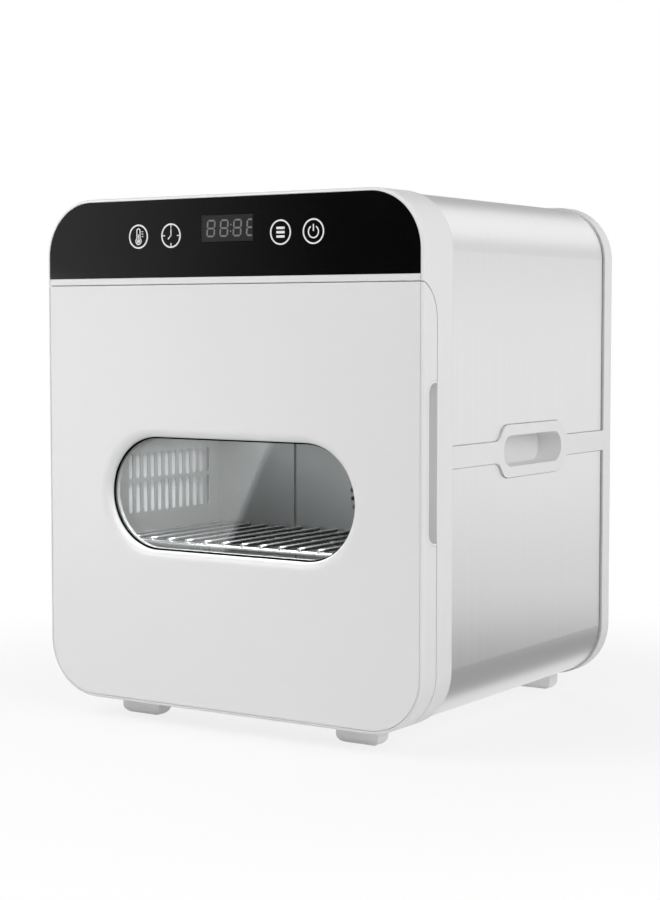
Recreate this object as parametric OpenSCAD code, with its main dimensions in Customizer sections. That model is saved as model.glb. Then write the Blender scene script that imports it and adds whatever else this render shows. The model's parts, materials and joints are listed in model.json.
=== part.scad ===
// Benchtop hot-air sterilising cabinet with a side-hung glazed door.
// Millimetres, +Z up, front towards -Y, origin under the middle of the cabinet on the bench plane.
// Depths named "in" or "y" below are measured backwards from the front plane of the door.

/* [Cabinet] */
// Overall width
body_w = 342; // [330:1:370]
// Overall depth
body_d = 306; // [300:1:340]
// Height above the feet
body_h = 387; // [380:1:410]
// Radius of the four long corners
corner_r = 44; // [38:1:48]
// Height of the feet
foot_h = 15.5; // [9:0.5:18]
// Depth of the front frame along the side
frame_d = 41; // [39:0.5:48]
// Depth of the rear frame
rear_d = 15; // [14:0.5:18]
// Thickness of the steel wraps
wrap_t = 1; // [0.8:0.1:1.4]

/* [Fascia] */
// Height of the fascia above the door seam
fascia_h = 65.6; // [62:0.2:70]
// Height of the white strip between seam and black panel
strip_h = 4.9; // [3:0.1:7]
// Width of the display window
display_w = 46.6; // [40:0.2:52]
// Height of the display window
display_h = 19.4; // [16:0.2:22]

/* [Door] */
// Thickness of the door
door_t = 18.5; // [18:0.1:20]
// Radius of the rounded upper rear edge of the door
arc_r = 28.2; // [26:0.1:32]
// Height of the window middle above the cabinet bottom
window_z = 162.1; // [155:0.1:170]
// Radius of the window ends at the glass
window_r = 43.4; // [36:0.1:46]
// Half length of the straight part of the window
window_l = 68.6; // [55:0.1:74]
// Radius of the flared window lip
flare_r = 6.5; // [5:0.1:7]
// Length of the finger pull
grip_l = 112.8; // [80:0.4:120]

/* [Side belts] */
// Height of the narrow belt
belt_h = 16.1; // [12:0.1:20]
// Height of the belt around the hand recess
bulge_h = 39.8; // [36:0.2:46]
// Length of the hand recess
recess_l = 95.1; // [80:0.1:110]
// Height of the hand recess
recess_h = 23.2; // [18:0.2:26]
// Depth of the hand recess
recess_in = 20; // [14:0.5:20]

/* [Chamber] */
// Vertical distance between racks
rack_pitch = 85; // [80:0.5:85]
// Distance between rack wires
wire_pitch = 17.7; // [15:0.1:20]
// Diameter of the rack wires
wire_d = 3; // [2.5:0.1:3.2]
// Distance between air slots
slot_pitch = 9.4; // [8:0.1:12]
// Number of fan blades
blades = 9; // [6:1:11]

/* [Hidden] */
$fn = 64;
// joints between pieces
seam = 0.8;
groove = 0.3;
fit_gap = 0.2;
run_gap = 0.05;
press_gap = 0.02;
line_gap = 0.5;
over = 1;
edge_r = 2.4;
groove_d = 0.6;
// main levels and planes
z_low = foot_h;
z_top = foot_h + body_h;
z_mid = (z_low + z_top) / 2;
side = body_w / 2;
seam_z = z_top - fascia_h;
door_top = seam_z - seam;
arc_y = door_t - arc_r;
arc_z = door_top - sqrt(arc_r * arc_r - arc_y * arc_y);
face_y = door_t + seam;
// front frame
frame_wall = 4;
face_t = 7.7;
face_back = face_y + face_t;
box_rise = 8;
box_wall = 3;
box_z = seam_z + box_rise;
box_y = edge_r + box_wall;
wrap_in = 1.5;
spigot_in = wrap_in + wrap_t + fit_gap / 2;
spigot_t = 2.4;
spigot_l = 8;
joint_w = 2.2;
joint_in = 0.7;
wrap_end = body_d - rear_d - joint_w;
// chamber mouth and shell
mouth_in = 31;
mouth_rise = 26;
mouth_drop = 10;
mouth_x = side - mouth_in;
mouth_low = z_low + mouth_rise;
mouth_top = arc_z - mouth_drop;
mouth_r = 8;
seal_w = 9;
seal_in = 4.7;
seal_t = 5;
seal_off = 2;
seal_gap = 0.3;
seal_neck = seal_in + seam - seal_t / 2 - seal_gap;
duct_w = 6;
sill = 2;
shell_x = mouth_x + duct_w;
shell_low = mouth_low - sill;
shell_top = mouth_top + sill;
sheet = 1;
flange = 10;
shell_y = face_back + fit_gap / 2;
fan_room = 120;
back_y = body_d - fan_room;
plate_t = 1.2;
bulk_y = back_y + plate_t;
bulk_back = bulk_y + plate_t;
// racks and rails
rack_rise = 10.4;
rack_play = 3;
rack_low = mouth_low + rack_rise;
rack_front = 50;
rack_back = back_y - rack_play;
rail_w = 7;
rail_gap = 0.3;
rail_t = 2;
weld_in = 0.6;
cross_drop = wire_d - weld_in;
rack_x = mouth_x - rail_gap - wire_d;
rack_side = 6;
// air slots in the side walls
duct_in = 3;
slot_w = 5.6;
slot_first = 36;
slot_last = 14;
slot_rows = [29.2, 55.1];
slot_h = [25, 21];
// control panel
panel_in = edge_r + groove + fit_gap / 2;
panel_t = 1.5;
panel_low = seam_z + strip_h;
key_rise = 36;
key_z = seam_z + key_rise;
display_x = 3.5;
display_rise = 40.3;
display_z = seam_z + display_rise;
key_x = [-79.5, -48.4, 51.3, 79.8];
pad_r = 5;
board_y = 9.5;
board_t = 1.6;
board_side = 12;
board_over = 11;
support_r = 3;
support_in = 14;
support_rise = 10;
support_z = box_z + support_rise;
// door
door_wall = 6;
bar_h = 4;
bar_z = arc_z - bar_h;
liner_t = 3;
liner_y = door_t - liner_t;
glass_z = z_low + window_z;
lip_y = 8;
gasket_t = 1;
pane_t = 3;
pane_edge = 5;
pane_r = window_r + pane_edge;
pane_y = lip_y + gasket_t;
collar_r = window_r - 1;
collar_t = 3;
inner_r = window_r + 2;
gasket_edge = 1.2;
gasket_r = window_r - gasket_edge;
boss_r = window_r + flare_r + 1.5;
// finger pull
grip_y = 7.8;
grip_drop = 100.2;
grip_z = arc_z - grip_drop;
grip_r = 8;
grip_in = 13;
grip_t = 1.6;
// hinges at the left edge
hinge_in = 3.2;
hinge_x = -side + hinge_in;
hinge_y = door_t + seam / 2;
knuckle_r = 3;
hinge_pin_r = 1.5;
hinge_l = 48;
leaf_w = 15;
leaf_t = 1.2;
relief = 4.5;
hinge_rise = 32;
hinge_drop = 42;
hinge_z = [z_low + corner_r + hinge_rise, arc_z - hinge_drop];
// catches at the right edge
catch_out = 14;
catch_x = mouth_x + catch_out;
catch_w = 8;
catch_l = 25;
catch_rise = 80;
catch_drop = 20;
catch_z = [z_low + catch_rise, arc_z - catch_drop];
magnet_t = 4;
// side belts
belt_rise = 3;
belt_z = z_mid + belt_rise;
belt_t = 7;
belt_lip = 4;
bulge_y = 166;
bulge_l = 80;
bulge_run = 20;
bulge_rise = (bulge_h - belt_h) / 2;
curve_r = (bulge_run * bulge_run + bulge_rise * bulge_rise) / (4 * bulge_rise);
curve_a = asin(bulge_run / 2 / curve_r);
cup_t = 2;
// power board
board_in = 4;
board_x0 = -shell_x + board_in;
board_w = 84;
board_rise = 30;
board_z0 = shell_low + board_rise;
board_h = 110;
board_gap = 16;
board_foot = 6;
board_clear = 22;
transformer = [38, 30, 34];
relay = [20, 16, 28];
capacitor_r = 8;
capacitor_l = 22;
capacitor_pitch = 24;
// fan room
pan_r = 66;
pan_t = 1.2;
pan_flange = 8;
fan_x = board_x0 + board_w + board_clear + pan_r + pan_flange;
fan_z = (shell_low + shell_top) / 2;
seam_in = 86;
seam_x = -shell_x + seam_in;
seam_w = 2.2;
probe_in = 39;
probe_x = -shell_x + probe_in;
probe_drop = 30;
probe_z = shell_top - probe_drop;
probe_r = 2.5;
probe_l = 22;
pan_l = 44;
pan_back = bulk_back + pan_l;
fan_r = 48;
hub_r = 9;
shaft_r = 3;
shaft_l = 11.5;
blade_t = 1.5;
fan_gap = 9;
fan_y = bulk_back + fan_gap;
fan_l = 24;
motor_r = 30;
motor_gap = 3;
motor_y = pan_back + motor_gap;
motor_l = 30;
boss_motor_r = 14;
coil_r = 57;
coil_tube = 3.2;
coil_lead = 8;
grille_r = 44;
grille_pitch = 7;
grille_slot = 3.4;
grille_rows = floor(grille_r / grille_pitch) - 1;
// back
ledge_in = 14;
cover_in = 8;
cover_t = 2.5;
cover_drop = 6.5;
cover_y = body_d - cover_drop;
cover_back = cover_y + cover_t;
screw_r = 3.5;
screw_in = 12;
screw_h = 1.8;
screw_slot = 1;
vent_rows = 12;
vent_pitch = 6;
vent_w = 84;
vent_h = 3;
inlet_in = 76;
inlet_rise = 58;
inlet_x = -side + inlet_in;
inlet_z = z_low + inlet_rise;
inlet_w = 27;
inlet_h = 20;
inlet_l = 24;
inlet_ear = 10;
inlet_lip = 3;
inlet_t = 2.5;
socket_wall = 2.25;
socket_in = 15;
contact_spots = [[-7, -1.5], [0, 2], [7, -1.5]];
contact_size = [2, 4];
contact_l = 10;
// feet
foot_w = 36;
foot_l = 15;
foot_x = [100.5, 106];
foot_r = 6;
foot_end_r = 7;
foot_front = 6.2;
foot_rear = 1;
foot_y = [face_y + foot_front, body_d - foot_l - foot_rear];

// Rounded rectangle about the origin.
module rounded(w, h, r) {
    square([w - 2 * r, h], center = true);
    square([w, h - 2 * r], center = true);
    for (sx = [-1, 1], sy = [-1, 1])
        translate([sx * (w / 2 - r), sy * (h / 2 - r)])
            circle(r);
}

// Cabinet outline seen from the front, drawn inwards by the given inset.
module outline(inset) {
    translate([0, z_mid])
        rounded(body_w - 2 * inset, body_h - 2 * inset, corner_r - inset);
}

// Everything between two heights, as a wide band.
module band(z0, z1) {
    translate([-body_w, z0])
        square([2 * body_w, z1 - z0]);
}

// Front view shape carried from depth y0 to depth y1.
module slab(y0, y1) {
    translate([0, y1 - body_d / 2, 0])
        rotate([90, 0, 0])
            linear_extrude(y1 - y0)
                children();
}

// Side view shape (depth, height) carried from x0 to x1.
module beam(x0, x1) {
    translate([x0, -body_d / 2, 0])
        rotate([90, 0, 90])
            linear_extrude(x1 - x0)
                children();
}

// Plan shape (x, depth) carried from z0 to z1.
module post(z0, z1) {
    translate([0, -body_d / 2, z0])
        linear_extrude(z1 - z0)
            children();
}

// Round bar along the depth.
module rod_y(x, z, r, y0, y1) {
    slab(y0, y1)
        translate([x, z])
            circle(r);
}

// Upright round bar at a depth.
module rod_z(x, y, r, z0, z1) {
    post(z0, z1)
        translate([x, y])
            circle(r);
}

// Block between two corners given as x, depth, height.
module block(a, b) {
    translate([a[0], a[1] - body_d / 2, a[2]])
        cube(b - a);
}

// Profile carried round a rounded rectangle; profile x points outwards, y along the axis.
module ring_sweep(w, h, r) {
    for (k = [0:3]) {
        long = k % 2 == 0 ? h : w;
        reach = k % 2 == 0 ? w : h;
        rotate(90 * k)
            translate([reach / 2, 0, 0])
                rotate([90, 0, 0])
                    linear_extrude(long - 2 * r, center = true)
                        children();
        rotate(90 * k)
            translate([reach / 2 - r, long / 2 - r, 0])
                rotate_extrude(angle = 90)
                    translate([r, 0])
                        children();
    }
}

// Quarter-round edge of the cabinet outline.
module edge_round() {
    ring_sweep(body_w - 2 * edge_r, body_h - 2 * edge_r, corner_r - edge_r)
        intersection() {
            translate([0, edge_r])
                circle(edge_r);
            square(edge_r);
        }
}

// Solid outline with a rounded front edge; the front plates lie inside that edge and a shallow groove.
module front_blank() {
    slab(edge_r, frame_d)
        outline(0);
    slab(groove_d, edge_r)
        difference() {
            outline(edge_r);
            outline(edge_r + groove - fit_gap / 2);
        }
    translate([0, -body_d / 2, z_mid])
        rotate([-90, 0, 0])
            edge_round();
}

// Side view of the door up to its rounded upper edge, grown by the given gap.
module door_side(gap) {
    translate([-over, 0])
        square([door_t + gap + over, arc_z]);
    translate([arc_y, arc_z])
        circle(arc_r + gap);
}

// Oblong with round ends along x at the window.
module oblong(r) {
    translate([0, glass_z]) {
        square([2 * window_l, 2 * r], center = true);
        for (s = [-1, 1])
            translate([s * window_l, 0])
                circle(r);
    }
}

// Plan of the relief at the hinge edge of the frame.
module frame_relief() {
    post(z_low - over, seam_z)
        polygon([
            [-side - over, -over],
            [-side + relief, -over],
            [-side + relief, face_y],
            [-side - over, face_y + relief + over]
        ]);
}

// Plan of the relief at the hinge edge of the door.
module door_relief() {
    post(z_low - over, seam_z)
        polygon([
            [-side - over, door_t - relief - over],
            [-side + relief + over, door_t + over],
            [-side - over, door_t + over]
        ]);
}

// Round hollow for the hinge knuckles, between two distances from the hinge middle.
module knuckle_hollow(z, d0, d1) {
    rod_z(hinge_x, hinge_y, knuckle_r + 2 * fit_gap, z + d0, z + d1);
}

// White frame: fascia box above, face with the chamber mouth behind the door.
module front_frame() {
    color("whitesmoke") {
        difference() {
            front_blank();
            beam(-body_w, body_w)
                door_side(seam);
            slab(0, face_back + over)
                mouth(0);
            slab(0, face_y + seal_in)
                mouth(seal_w);
            slab(face_back, frame_d + over)
                outline(frame_wall);
            slab(box_y, face_back + over)
                intersection() {
                    outline(frame_wall);
                    band(box_z, z_top);
                }
            slab(0, box_y + over)
                display_hole(fit_gap);
            for (x = key_x)
                rod_y(x, key_z, pad_r + fit_gap, 0, box_y + over);
            frame_relief();
            for (z = hinge_z) {
                knuckle_hollow(z, -hinge_l / 2 - fit_gap, hinge_l / 2 + fit_gap);
                block([hinge_x, 0, z - hinge_l / 2 - fit_gap],
                    [hinge_x + leaf_w + fit_gap, face_y + leaf_t, z + hinge_l / 2 + fit_gap]);
            }
            for (z = catch_z)
                block([catch_x - fit_gap, 0, z - catch_l / 2 - fit_gap],
                    [catch_x + catch_w + fit_gap, face_y + panel_t, z + catch_l / 2 + fit_gap]);
        }
        for (x = [key_x[0] + support_in, key_x[3] - support_in])
            rod_y(x, support_z, support_r, box_y - fit_gap, board_y);
        slab(frame_d - 2, frame_d + spigot_l)
            difference() {
                outline(spigot_in);
                outline(spigot_in + spigot_t);
            }
    }
}

// Mouth of the chamber, grown by the given margin.
module mouth(grow) {
    translate([0, (mouth_low + mouth_top) / 2])
        rounded(2 * (mouth_x + grow), mouth_top - mouth_low + 2 * grow, mouth_r + grow);
}

// Opening of the display, grown by the given margin.
module display_hole(grow) {
    translate([display_x, display_z])
        square([display_w + 2 * grow, display_h + 2 * grow], center = true);
}

// Outline of the black control panel.
module panel_shape(grow) {
    intersection() {
        outline(panel_in - grow);
        band(panel_low - grow, z_top);
    }
}

// White plate that carries the control panel.
module fascia_plate() {
    color("white")
        difference() {
            slab(0, edge_r)
                outline(edge_r + groove);
            beam(-body_w, body_w)
                door_side(seam);
            slab(-over, panel_t)
                panel_shape(fit_gap);
            slab(0, edge_r + over)
                display_hole(fit_gap);
            for (x = key_x)
                rod_y(x, key_z, pad_r + fit_gap, 0, edge_r + over);
        }
}

// Black touch panel.
module control_panel() {
    color("black")
        slab(0, panel_t)
            difference() {
                panel_shape(0);
                display_hole(fit_gap);
            }
}

// Smoked window in front of the digits.
module display_window() {
    color("dimgray")
        slab(0, panel_t)
            display_hole(0);
}

// Digit block behind the display window.
module display_module() {
    color("gray")
        slab(panel_t, board_y)
            display_hole(0);
}

// Circuit board behind the fascia.
module display_board() {
    color("green")
        slab(board_y, board_y + board_t)
            translate([(key_x[0] + key_x[3]) / 2, key_z])
                square([key_x[3] - key_x[0] + 2 * board_side, display_h + 2 * board_over], center = true);
}

// Sensing pads between board and touch panel.
module touch_pads() {
    color("silver")
        for (x = key_x)
            rod_y(x, key_z, pad_r, panel_t, board_y);
}

// Ring of the steel wrap seen from the front.
module wrap_ring() {
    difference() {
        outline(wrap_in);
        outline(wrap_in + wrap_t);
    }
}

// Steel sheet over the top and the upper sides.
module upper_wrap() {
    color("lightgray")
        difference() {
            slab(frame_d + line_gap, wrap_end)
                intersection() {
                    wrap_ring();
                    band(belt_z, z_top);
                }
            beam(-body_w, body_w)
                belt_side(line_gap);
        }
}

// Steel sheet under the floor and the lower sides.
module lower_wrap() {
    color("lightgray")
        difference() {
            slab(frame_d + line_gap, wrap_end)
                intersection() {
                    wrap_ring();
                    band(z_low, belt_z);
                }
            beam(-body_w, body_w)
                belt_side(line_gap);
        }
}

// Points of the curve from the narrow belt to the full bulge, from its start depth.
function belt_curve(y0) = concat(
    [for (k = [0:6])
        let (a = curve_a * k / 6)
            [y0 + curve_r * sin(a), belt_h / 2 + curve_r * (1 - cos(a))]],
    [for (k = [5:-1:0])
        let (a = curve_a * k / 6)
            [y0 + bulge_run - curve_r * sin(a), bulge_h / 2 - curve_r * (1 - cos(a))]]
);

// Upper half of the belt outline from front frame to rear frame.
function belt_half() =
    let (rise = belt_curve(0))
        concat(
            [[frame_d - bulge_y, belt_h / 2]],
            [for (p = rise) [p[0] - bulge_l / 2 - bulge_run, p[1]]],
            [for (k = [len(rise) - 1:-1:0])
                [bulge_l / 2 + bulge_run - rise[k][0], rise[k][1]]],
            [[body_d - rear_d - bulge_y, belt_h / 2]]
        );

// Side view of the belt, grown in height by the given margin.
module belt_side(grow) {
    half = belt_half();
    last = len(half) - 1;
    translate([bulge_y, belt_z])
        polygon(concat(
            [for (p = half) [p[0], p[1] + grow]],
            [for (k = [last:-1:0]) [half[k][0], -half[k][1] - grow]]
        ));
}

// Side view of the hand recess, grown by the given margin.
module recess_side(grow) {
    translate([bulge_y, belt_z]) {
        square([recess_l - recess_h, recess_h + 2 * grow], center = true);
        for (s = [-1, 1])
            translate([s * (recess_l - recess_h) / 2, 0])
                circle(recess_h / 2 + grow);
    }
}

// Belt on the right side with its hand recess; the lip lies behind the wraps.
module belt() {
    lip_x = side - wrap_in - wrap_t - fit_gap / 2;
    color("whitesmoke")
        difference() {
            union() {
                beam(side - belt_t, side)
                    belt_side(0);
                beam(side - belt_t, lip_x)
                    intersection() {
                        belt_side(belt_lip);
                        translate([frame_d + spigot_l + over, 0])
                            square([wrap_end - frame_d - 2 * spigot_l - 2 * over, z_top]);
                    }
                beam(side - recess_in - cup_t, side - belt_t + fit_gap)
                    recess_side(cup_t);
            }
            beam(side - recess_in, side + over)
                recess_side(0);
            slab(frame_d - over, frame_d + spigot_l + fit_gap)
                outline(spigot_in - fit_gap / 2);
            slab(wrap_end - spigot_l - fit_gap, body_d)
                outline(spigot_in - fit_gap / 2);
        }
}

module side_belt_right() {
    belt();
}

module side_belt_left() {
    mirror([1, 0, 0])
        belt();
}

// Black strip in the joint between the wraps and the rear frame.
module wrap_gasket() {
    color("black")
        difference() {
            slab(wrap_end, wrap_end + joint_w)
                difference() {
                    outline(wrap_in + joint_in);
                    outline(spigot_in);
                }
            beam(-body_w, body_w)
                belt_side(fit_gap);
        }
}

// White frame around the back with a ledge for the cover.
module rear_frame() {
    color("whitesmoke")
        difference() {
            union() {
                slab(body_d - rear_d, body_d - edge_r)
                    outline(0);
                slab(body_d - edge_r, body_d)
                    outline(edge_r);
                translate([0, body_d / 2, z_mid])
                    rotate([90, 0, 0])
                        edge_round();
                slab(wrap_end - spigot_l, body_d - rear_d + 1)
                    outline(spigot_in);
            }
            slab(wrap_end - spigot_l - over, body_d - rear_d)
                outline(spigot_in + spigot_t);
            slab(body_d - rear_d - over, body_d + over)
                outline(ledge_in);
            slab(cover_y, body_d + over)
                outline(cover_in);
        }
}

// Positions of the cover screws as x and height.
function screw_spots() = [
    for (sx = [-1, 1], sz = [-1, 0, 1])
        [sx * (side - screw_in), z_mid + sz * (body_h / 2 - corner_r - 10)]
];

// Back cover with rows of vents and the cut-out of the mains inlet.
module rear_cover() {
    color("gainsboro")
        slab(cover_y, cover_back)
            difference() {
                outline(cover_in + fit_gap);
                for (k = [0:vent_rows - 1])
                    translate([fan_x, fan_z + vent_pitch * (k - (vent_rows - 1) / 2)])
                        square([vent_w, vent_h], center = true);
                translate([inlet_x, inlet_z])
                    square([inlet_w + 2 * fit_gap, inlet_h + 2 * fit_gap], center = true);
            }
}

// Pan-head screws of the back cover.
module rear_screws() {
    color("silver")
        for (p = screw_spots())
            difference() {
                rod_y(p[0], p[1], screw_r, cover_back, cover_back + screw_h);
                slab(cover_back + screw_h / 2, cover_back + screw_h + over)
                    translate(p)
                        square([3 * screw_r, screw_slot], center = true);
            }
}

// Mains inlet: flange on the cover, body behind it, socket open to the back.
module power_inlet() {
    color("black")
        difference() {
            union() {
                slab(cover_back, cover_back + inlet_t)
                    translate([inlet_x, inlet_z])
                        rounded(inlet_w + 2 * inlet_ear, inlet_h + 2 * inlet_lip, inlet_lip);
                slab(cover_back - inlet_l, cover_back + inlet_t / 2)
                    translate([inlet_x, inlet_z])
                        square([inlet_w, inlet_h], center = true);
            }
            slab(cover_back - socket_in, cover_back + inlet_t + over)
                translate([inlet_x, inlet_z])
                    rounded(inlet_w - 2 * socket_wall, inlet_h - 2 * socket_wall, socket_wall);
        }
}

// Three contact blades inside the inlet.
module inlet_pins() {
    color("gold")
        for (p = contact_spots)
            slab(cover_back - socket_in, cover_back - socket_in + contact_l)
                translate([inlet_x + p[0], inlet_z + p[1]])
                    square(contact_size, center = true);
}

// Foot of the given length, rounded at its lower corners.
module foot_profile(l, r) {
    intersection() {
        square([l, foot_h]);
        translate([l / 2, foot_h])
            rounded(l, 2 * foot_h, r);
    }
}

// Four feet under the front and rear frames, rounded below in both views.
module feet() {
    color("whitesmoke")
        for (sx = [-1, 1], k = [0, 1]) {
            x0 = sx * foot_x[k] - foot_w / 2;
            intersection() {
                beam(x0, x0 + foot_w)
                    translate([foot_y[k], 0])
                        foot_profile(foot_l, foot_r);
                slab(foot_y[k], foot_y[k] + foot_l)
                    translate([x0, 0])
                        foot_profile(foot_w, foot_end_r);
            }
        }
}

// Front view of the chamber shell, grown by the given margin.
module shell_shape(grow) {
    translate([-shell_x - grow, shell_low - grow])
        square([2 * (shell_x + grow), shell_top - shell_low + 2 * grow]);
}

// Stainless tube of the chamber with a flange behind the frame face.
module chamber_shell() {
    color("silver")
        difference() {
            union() {
                slab(shell_y, bulk_y)
                    shell_shape(sheet);
                slab(shell_y, shell_y + plate_t)
                    translate([0, (shell_low + shell_top) / 2])
                        rounded(2 * (shell_x + flange), shell_top - shell_low + 2 * flange, flange);
            }
            slab(face_back - over, bulk_y + over)
                shell_shape(0);
        }
}

// Levels of the racks.
function rack_z(k) = rack_low + k * rack_pitch;

// Slotted wall on the right side, standing off the shell to form an air duct.
module air_panel() {
    y0 = face_back + duct_in;
    y1 = back_y - fit_gap;
    first = y0 + slot_first;
    count = floor((y1 - slot_last - first) / slot_pitch);
    color("silver")
        difference() {
            union() {
                beam(mouth_x, mouth_x + sheet)
                    translate([y0, mouth_low])
                        square([y1 - y0, mouth_top - mouth_low]);
                for (y = [y0, y1 - sheet])
                    beam(mouth_x, shell_x)
                        translate([y, mouth_low])
                            square([sheet, mouth_top - mouth_low]);
            }
            beam(mouth_x - over, mouth_x + sheet + over)
                for (k = [0:2], n = [0:count], row = [0, 1])
                    translate([first + n * slot_pitch, rack_z(k) + slot_rows[row]])
                        rounded(slot_w, slot_h[row], slot_w / 2 - fit_gap);
        }
}

module right_air_panel() {
    air_panel();
}

module left_air_panel() {
    mirror([1, 0, 0])
        air_panel();
}

// Ledges under the racks on the right side.
module rails() {
    color("silver")
        for (k = [0:2])
            beam(mouth_x - rail_w, mouth_x)
                translate([rack_front - 4, rack_z(k) - cross_drop - wire_d / 2 - rail_gap - rail_t])
                    square([back_y - rack_front, rail_t]);
}

module right_rack_rails() {
    rails();
}

module left_rack_rails() {
    mirror([1, 0, 0])
        rails();
}

// Polished back wall left of the upright seam.
module chamber_back() {
    color("silver")
        slab(back_y, bulk_y)
            difference() {
                translate([-shell_x, shell_low])
                    square([shell_x + seam_x - seam_w, shell_top - shell_low]);
                translate([probe_x, probe_z])
                    circle(probe_r + fit_gap);
            }
}

// Back wall panel right of the seam with the grille in front of the fan.
module fan_cover() {
    color("silver")
        slab(back_y, bulk_y)
            difference() {
                translate([seam_x, shell_low])
                    square([shell_x - seam_x, shell_top - shell_low]);
                for (k = [-grille_rows:grille_rows])
                    translate([fan_x, fan_z + grille_pitch * k])
                        square([2 * sqrt(pow(grille_r, 2) - pow(grille_pitch * k, 2)), grille_slot], center = true);
            }
}

// Sheet that closes the chamber at the back, with the fan inlet.
module rear_bulkhead() {
    color("gray")
        slab(bulk_y, bulk_back)
            difference() {
                shell_shape(sheet);
                translate([fan_x, fan_z])
                    circle(fan_r + 4);
                translate([probe_x, probe_z])
                    circle(probe_r + fit_gap);
            }
}

// Round pan around impeller and heater.
module fan_housing() {
    color("gray")
        difference() {
            union() {
                rod_y(fan_x, fan_z, pan_r + pan_t, bulk_back, pan_back);
                rod_y(fan_x, fan_z, pan_r + pan_flange, bulk_back, bulk_back + plate_t);
            }
            rod_y(fan_x, fan_z, pan_r, bulk_back - over, pan_back - pan_t);
            rod_y(fan_x, fan_z, 2 * shaft_r, pan_back - 2 * pan_t, pan_back + over);
            for (s = [-1, 1])
                rod_y(fan_x + s * coil_lead, fan_z - coil_r, coil_tube + fit_gap,
                    pan_back - 2 * pan_t, pan_back + over);
        }
}

// Ring-shaped tube heater with two ends through the pan.
module heater_ring() {
    color("dimgray") {
        translate([fan_x, fan_y + fan_l / 2 - body_d / 2, fan_z])
            rotate([90, 0, 0])
                rotate_extrude()
                    translate([coil_r, 0])
                        circle(coil_tube);
        for (s = [-1, 1])
            rod_y(fan_x + s * coil_lead, fan_z - coil_r, coil_tube - line_gap,
                fan_y + fan_l / 2, pan_back + coil_lead);
    }
}

// Motor behind the pan with a bore for its shaft.
module fan_motor() {
    color("dimgray")
        difference() {
            union() {
                rod_y(fan_x, fan_z, boss_motor_r, pan_back, motor_y + over);
                rod_y(fan_x, fan_z, motor_r, motor_y, motor_y + motor_l);
            }
            rod_y(fan_x, fan_z, shaft_r + run_gap, pan_back - over, motor_y + shaft_l + line_gap);
        }
}

module motor_shaft() {
    color("silver")
        rod_y(fan_x, fan_z, shaft_r, fan_y + 2, motor_y + shaft_l);
}

// Impeller with a round back disc, flat blades and a hub on the shaft.
module fan_impeller() {
    color("silver")
        difference() {
            union() {
                rod_y(fan_x, fan_z, fan_r, fan_y + fan_l - blade_t, fan_y + fan_l);
                rod_y(fan_x, fan_z, hub_r, fan_y, fan_y + fan_l);
                for (k = [0:blades - 1])
                    slab(fan_y + 2, fan_y + fan_l - 1)
                        translate([fan_x, fan_z])
                            rotate(360 * k / blades)
                                translate([hub_r - 2, -blade_t / 2])
                                    square([fan_r - hub_r, blade_t]);
            }
            rod_y(fan_x, fan_z, shaft_r + press_gap, fan_y - over, fan_y + fan_l + over);
        }
}

// Sensor rod in the chamber with a collar behind the back wall.
module temperature_probe() {
    color("silver") {
        rod_y(probe_x, probe_z, probe_r, back_y - probe_l, bulk_back + probe_l / 2);
        rod_y(probe_x, probe_z, 2 * probe_r, bulk_back, bulk_back + probe_r);
    }
}

// Circuit board of the heater and the fan behind the back wall.
module power_board() {
    color("green")
        slab(bulk_back + board_gap, bulk_back + board_gap + board_t)
            translate([board_x0, board_z0])
                square([board_w, board_h]);
}

// Transformer, relay and capacitors on the power board.
module board_parts() {
    y0 = bulk_back + board_gap + board_t;
    color("dimgray") {
        translate([board_x0 + 2 * board_foot, y0 - body_d / 2, board_z0 + 2 * board_foot])
            cube(transformer);
        translate([board_x0 + board_w - relay[0] - 2 * board_foot, y0 - body_d / 2, board_z0 + 2 * board_foot])
            cube(relay);
        for (k = [-1:1])
            rod_y(board_x0 + board_w / 2 + capacitor_pitch * k, board_z0 + board_h * 0.7,
                capacitor_r, y0, y0 + capacitor_l);
    }
}

module board_standoffs() {
    color("gold")
        for (x = [board_foot, board_w - board_foot], z = [board_foot, board_h - board_foot])
            rod_y(board_x0 + x, board_z0 + z, support_r, bulk_back, bulk_back + board_gap);
}

// Hinge leaves let into the frame face, each with two knuckles.
module frame_hinge_leaves() {
    color("silver")
        for (z = hinge_z)
            difference() {
                union() {
                    difference() {
                        block([hinge_x, face_y, z - hinge_l / 2],
                            [hinge_x + leaf_w, face_y + leaf_t, z + hinge_l / 2]);
                        knuckle_hollow(z, -hinge_l / 6, hinge_l / 6);
                    }
                    for (s = [-1, 1])
                        rod_z(hinge_x, hinge_y, knuckle_r, z + s * hinge_l / 3 - hinge_l / 6 + fit_gap,
                            z + s * hinge_l / 3 + hinge_l / 6 - fit_gap);
                }
                rod_z(hinge_x, hinge_y, hinge_pin_r + press_gap, z - hinge_l, z + hinge_l);
            }
}

// Hinge leaves let into the back of the door, each with the middle knuckle.
module door_hinge_leaves() {
    color("silver")
        for (z = hinge_z)
            difference() {
                union() {
                    difference() {
                        block([hinge_x, door_t - leaf_t, z - hinge_l / 2],
                            [hinge_x + leaf_w, door_t, z + hinge_l / 2]);
                        for (s = [-1, 1])
                            knuckle_hollow(z, s * hinge_l / 3 - hinge_l / 6 - over,
                                s * hinge_l / 3 + hinge_l / 6 + fit_gap);
                    }
                    rod_z(hinge_x, hinge_y, knuckle_r, z - hinge_l / 6 + 2 * fit_gap,
                        z + hinge_l / 6 - 2 * fit_gap);
                }
                rod_z(hinge_x, hinge_y, hinge_pin_r + run_gap, z - hinge_l, z + hinge_l);
            }
}

module hinge_pins() {
    color("gray")
        for (z = hinge_z)
            rod_z(hinge_x, hinge_y, hinge_pin_r, z - hinge_l / 2, z + hinge_l / 2);
}

// Steel plates in the frame face opposite the door magnets.
module door_strikes() {
    color("silver")
        for (z = catch_z)
            block([catch_x, face_y, z - catch_l / 2],
                [catch_x + catch_w, face_y + panel_t, z + catch_l / 2]);
}

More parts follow.
